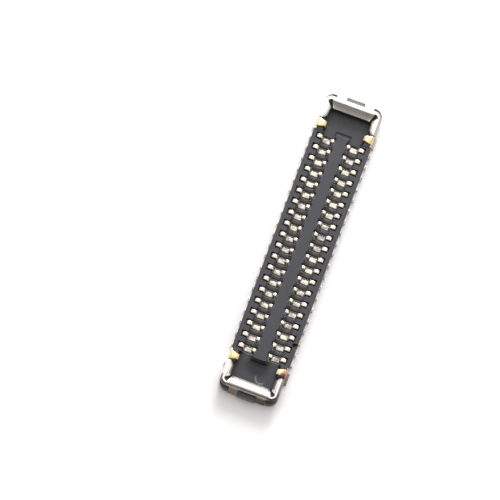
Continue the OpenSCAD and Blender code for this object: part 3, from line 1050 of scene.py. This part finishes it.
@dataclass
class EndCovers:
    """Two folded sheets with rim, guide plate, flaps, skirts, power tabs, legs and feet."""
    rim_x: float = 4.595
    rim_y: float = 0.89
    rim_top: float = 0.6
    thick: float = 0.06
    fold: float = 0.09
    inner_fold: float = 0.03
    corner_r: float = 0.22
    band: float = 0.115
    lip_z: float = 0.44
    arm_x: float = 3.855
    tab_x: float = 3.575
    tab_w: float = 0.25
    tab_tip_w: float = 0.16
    tab_flat: float = 0.14
    tab_z: float = 0.22
    skirt_x: float = 3.5
    skirt_z: float = 0.12
    foot_end: float = 3.94
    foot_out: float = 0.07
    leg_in: float = 0.3
    leg_out: float = 0.56
    leg_reach: float = 0.115
    leg_foot: float = 0.12
    plate_slope: float = 34.0
    plate_l: float = 0.22
    plate_taper: float = 22.0
    flap_slope: float = 45.0
    flap_l: float = 0.11
    flap_taper: float = 35.0
    edge: float = 0.008
    edge_angle: float = 50.0
    sharp: float = 35.0
    fold_cuts: int = 6
    corner_cuts: int = 8
    foot_cuts: int = 5
    knee_cuts: int = 3
    heel_cuts: int = 7
    slope_cuts: int = 5

    def rim(self, bench: Bench) -> None:
        """Sweeps the rim's section along one arm, round the end and back along the other arm.

        Args:
            bench: the sheet.
        """
        fold_z, corner_x = self.rim_top - self.fold, self.rim_x - self.corner_r
        corner_y = self.rim_y - self.corner_r
        flat_y = self.rim_y - self.fold
        bench.pick_edges(y=only(flat_y))
        bench.spin((0, flat_y, fold_z), (1, 0, 0), -90, self.fold_cuts)
        bench.extrude((0, 0, self.lip_z - fold_z))
        bench.pick_edges(x=only(self.foot_end))
        bench.extrude((corner_x - self.foot_end, 0, 0))
        bench.spin((corner_x, corner_y, 0), (0, 0, 1), -90, self.corner_cuts)
        stops = [corner_y, self.leg_out, self.leg_in, -self.leg_in, -self.leg_out, -corner_y]
        bench.extrude(*((0, stop - start, 0) for start, stop in zip(stops, stops[1:])))
        bench.spin((corner_x, -corner_y, 0), (0, 0, 1), -90, self.corner_cuts)
        bench.extrude((self.foot_end - corner_x, 0, 0), (self.arm_x - self.foot_end, 0, 0))

    def skirts(self, bench: Bench) -> None:
        """Draws the skirts down from the arms and turns out their solder feet.

        Args:
            bench: the sheet.
        """
        bench.pick_edges(x=(self.arm_x, self.rim_x - self.corner_r), z=only(self.lip_z))
        bench.extrude((0, 0, self.skirt_z - self.lip_z))
        bench.pick_edges(x=only(self.arm_x), z=(self.skirt_z, self.rim_top - self.fold))
        stops = [self.arm_x, self.tab_x + self.tab_w, self.tab_x, self.skirt_x]
        bench.extrude(*((stop - start, 0, 0) for start, stop in zip(stops, stops[1:])))
        for side in (1, -1):
            bench.pick_edges(x=(self.tab_x, self.foot_end), y=only(side * self.rim_y), z=only(self.skirt_z))
            bench.extrude((0, 0, self.fold - self.skirt_z))
            hinge = (0, side * (self.rim_y + self.inner_fold), self.fold)
            bench.spin(hinge, (side, 0, 0), 90, self.foot_cuts)
            bench.extrude((0, side * (self.foot_out - self.inner_fold), 0))

    def tabs(self, bench: Bench) -> None:
        """Bends the power tabs over the wall and down into the cavity.

        Args:
            bench: the sheet.
        """
        fold_z = self.rim_top - self.fold
        for side in (1, -1):
            ends = (self.tab_x, self.tab_x + self.tab_w)
            bench.pick_edges(x=ends, y=only(side * self.rim_y), z=only(fold_z))
            flat_y = side * (self.rim_y - self.fold)
            bench.spin((0, flat_y, fold_z), (side, 0, 0), 90, self.fold_cuts)
            bench.extrude((0, -side * self.tab_flat, 0))
            bench.widen((self.tab_tip_w / self.tab_w, 1, 1), (self.tab_x + self.tab_w / 2, 0, 0))
            bench.spin((0, flat_y - side * self.tab_flat, fold_z), (side, 0, 0), 90, self.fold_cuts)
            bench.extrude((0, 0, self.tab_z - fold_z))

    def legs(self, bench: Bench) -> None:
        """Leans the legs out from the lip and turns their feet in under the housing.

        Args:
            bench: the sheet.
        """
        top = Vector((self.rim_x + self.inner_fold, 0, self.lip_z - self.thick / 2))
        foot = Vector((self.rim_x + self.leg_reach - self.fold, 0, self.fold))
        drop = top - foot
        turn = math.asin((self.inner_fold + self.fold) / drop.length) - math.atan2(drop.x, drop.z)
        length = drop.z * math.cos(turn) - drop.x * math.sin(turn)
        bench.pick_edges(x=only(self.rim_x), aside=(self.leg_in, self.leg_out), z=only(self.lip_z))
        bench.extrude((0, 0, -self.thick / 2))
        bench.spin(top, (0, -1, 0), math.degrees(turn), self.knee_cuts)
        bench.extrude((math.sin(turn) * length, 0, -math.cos(turn) * length))
        bench.spin(foot, (0, 1, 0), 90 + math.degrees(turn), self.heel_cuts)
        bench.extrude((-self.leg_foot, 0, 0))

    def slope_down(self, bench: Bench, hinge: Sequence[float], inwards: Vector, size: Sequence[float],
                   angles: Sequence[float]) -> None:
        """Folds the selected edges down round a hinge and runs them on, narrowing as they go.

        Args:
            bench: the sheet.
            hinge: the middle of the hinge's axis.
            inwards: the way that the sheet runs, seen from above.
            size: half the width of the edges, and the length past the fold.
            angles: the slope and the taper at each side, in degrees.
        """
        (half, length), (slope, taper) = size, (math.radians(angle) for angle in angles)
        axis = Vector((0, 0, 1)).cross(inwards)
        run = inwards * length * math.cos(slope) - Vector((0, 0, length * math.sin(slope)))
        reach, width = 0.0, half
        for i in range(1, self.slope_cuts + 2):
            if i <= self.slope_cuts:
                bench.spin(hinge, axis, angles[0] / self.slope_cuts, 1)
                reach = self.fold * math.sin(slope * i / self.slope_cuts)
            else:
                bench.extrude(run)
                reach += length * math.cos(slope)
            narrower = half - reach * math.tan(taper)
            bench.widen([1 + abs(way) * (narrower / width - 1) for way in axis], hinge)
            width = narrower

    def guide_plate(self, bench: Bench) -> None:
        """Folds the guide plate down from the end.

        Args:
            bench: the sheet.
        """
        start_x, half = self.rim_x - self.band, self.rim_y - self.corner_r
        bench.pick_edges(x=only(start_x), y=(-half, half))
        self.slope_down(bench, (start_x, 0, self.rim_top - self.fold), Vector((-1, 0, 0)),
                        (half, self.plate_l), (self.plate_slope, self.plate_taper))

    def flaps(self, bench: Bench) -> None:
        """Folds the side flaps down from the arms.

        Args:
            bench: the sheet.
        """
        corner_x, start_y = self.rim_x - self.corner_r, self.rim_y - self.band
        for side in (1, -1):
            bench.pick_edges(x=(self.arm_x, corner_x), y=only(side * start_y))
            hinge = ((self.arm_x + corner_x) / 2, side * start_y, self.rim_top - self.fold)
            self.slope_down(bench, hinge, Vector((0, -side, 0)), ((corner_x - self.arm_x) / 2, self.flap_l),
                            (self.flap_slope, self.flap_taper))

    def sheet(self) -> bpy.types.Object:
        """Folds one far cover out of a strip and gives it its thickness.

        Returns:
            The object.
        """
        at = ((self.arm_x + self.foot_end) / 2, self.rim_y - (self.band + self.fold) / 2, self.rim_top)
        bench = Bench("cover", at, (self.foot_end - self.arm_x, self.band - self.fold))
        for step in (self.rim, self.skirts, self.tabs, self.legs, self.guide_plate, self.flaps):
            step(bench)
        piece = bench.close()
        top = max(piece.data.polygons, key=lambda face: face.center.z)
        if top.normal.z < 0:
            piece.data.flip_normals()
        apply_modifier(piece, "SOLIDIFY", thickness=self.thick * MM, offset=-1.0, use_even_offset=True)
        apply_modifier(piece, "BEVEL", width=self.edge * MM, segments=2, limit_method="ANGLE",
                       angle_limit=math.radians(self.edge_angle), use_clamp_overlap=True)
        press_down(piece, self.rim_top)
        smooth(piece, self.sharp)
        return piece

    def build(self, finish: bpy.types.Material) -> None:
        """Places the cover on both ends.

        Args:
            finish: the covers' material.
        """
        sheet = self.sheet()
        for end in End:
            turn = Matrix.Rotation(0 if end is End.FAR else math.pi, 4, "Z")
            node = f"end_cover_{end.name.lower()}"
            settle(copy_of(sheet, f"folded_{node}", turn), node, finish)
        bpy.data.objects.remove(sheet)


@dataclass
class Housing:
    """The moulding, with the small radii that a mould leaves along its edges, and a nick."""
    edge: float = 0.006
    edge_angle: float = 35.0
    flat_angle: float = 1.0
    sharp: float = 40.0
    sliver: float = 0.0001
    corners: int = 8
    nick_at: tuple = (-2.8, -0.83)
    nick_size: tuple = (0.115, 0.19)
    nick_r: float = 0.115 / 3
    nick_depth: float = 0.17
    nick_turn: float = 12.0
    nick_foot: tuple = (0.5, 0.7)
    nick_above: float = 0.02
    nick_cuts: int = 3
    wall_top: float = 0.5

    def nick(self) -> bpy.types.Object:
        """Models the tapering block that leaves a nick in the top edge of the right wall.

        Returns:
            The object.
        """
        top = (*self.nick_at, self.wall_top + self.nick_above)
        bench = Bench("nick", top, self.nick_size, (0, 0, self.nick_turn))
        bench.round_corners(self.nick_r, self.nick_cuts)
        bench.extrude((0, 0, -self.nick_depth - self.nick_above))
        bench.widen((*self.nick_foot, 1), top)
        return bench.close()

    def stays_flat(self, face: bmesh.types.BMFace) -> bool:
        """Tells whether a face is one with many corners, which is large and flat, or a wall of the nick.

        Args:
            face: the face.

        Returns:
            Whether it is shaded flat.
        """
        centre = face.calc_center_median() / MM
        from_nick = (centre.xy - Vector(self.nick_at)).length
        return len(face.verts) > self.corners or from_nick < self.nick_size[1] / 2

    def build(self, finish: bpy.types.Material) -> None:
        """Copies the housing's solid, merges it, rounds its edges and cuts the nick.

        Args:
            finish: the moulding's material.
        """
        piece = copy_of(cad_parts["housing"], "moulded_housing", Matrix.Identity(4))
        pick(piece)
        bpy.ops.object.mode_set(mode="EDIT")
        bpy.ops.mesh.select_all(action="SELECT")
        bpy.ops.mesh.remove_doubles(threshold=WELD * MM)
        bpy.ops.mesh.dissolve_limited(angle_limit=math.radians(self.flat_angle))
        bpy.ops.object.mode_set(mode="OBJECT")
        apply_modifier(piece, "BEVEL", width=self.edge * MM, segments=2, limit_method="ANGLE",
                       angle_limit=math.radians(self.edge_angle), use_clamp_overlap=True)
        nick = self.nick()
        apply_modifier(piece, "BOOLEAN", object=nick, operation="DIFFERENCE", solver="MANIFOLD")
        bpy.data.objects.remove(nick)
        bpy.ops.object.mode_set(mode="EDIT")
        bpy.ops.mesh.select_all(action="SELECT")
        bpy.ops.mesh.dissolve_degenerate(threshold=self.sliver * MM)
        bpy.ops.object.mode_set(mode="OBJECT")
        smooth(piece, self.sharp, self.stays_flat)
        settle(piece, "housing", finish)


def main() -> None:
    """Builds the stage and every piece, and reports each one."""
    logging.basicConfig(level=logging.INFO, format="%(message)s")
    bpy.context.scene.view_settings.view_transform = "Standard"
    studio = Studio()
    studio.camera()
    studio.floor()
    studio.lights()
    ContactRows().build(SpringMetal().make())
    EndCovers().build(CoverMetal().make())
    Housing().build(MouldedPlastic().make())


if __name__ == "__main__":
    main()
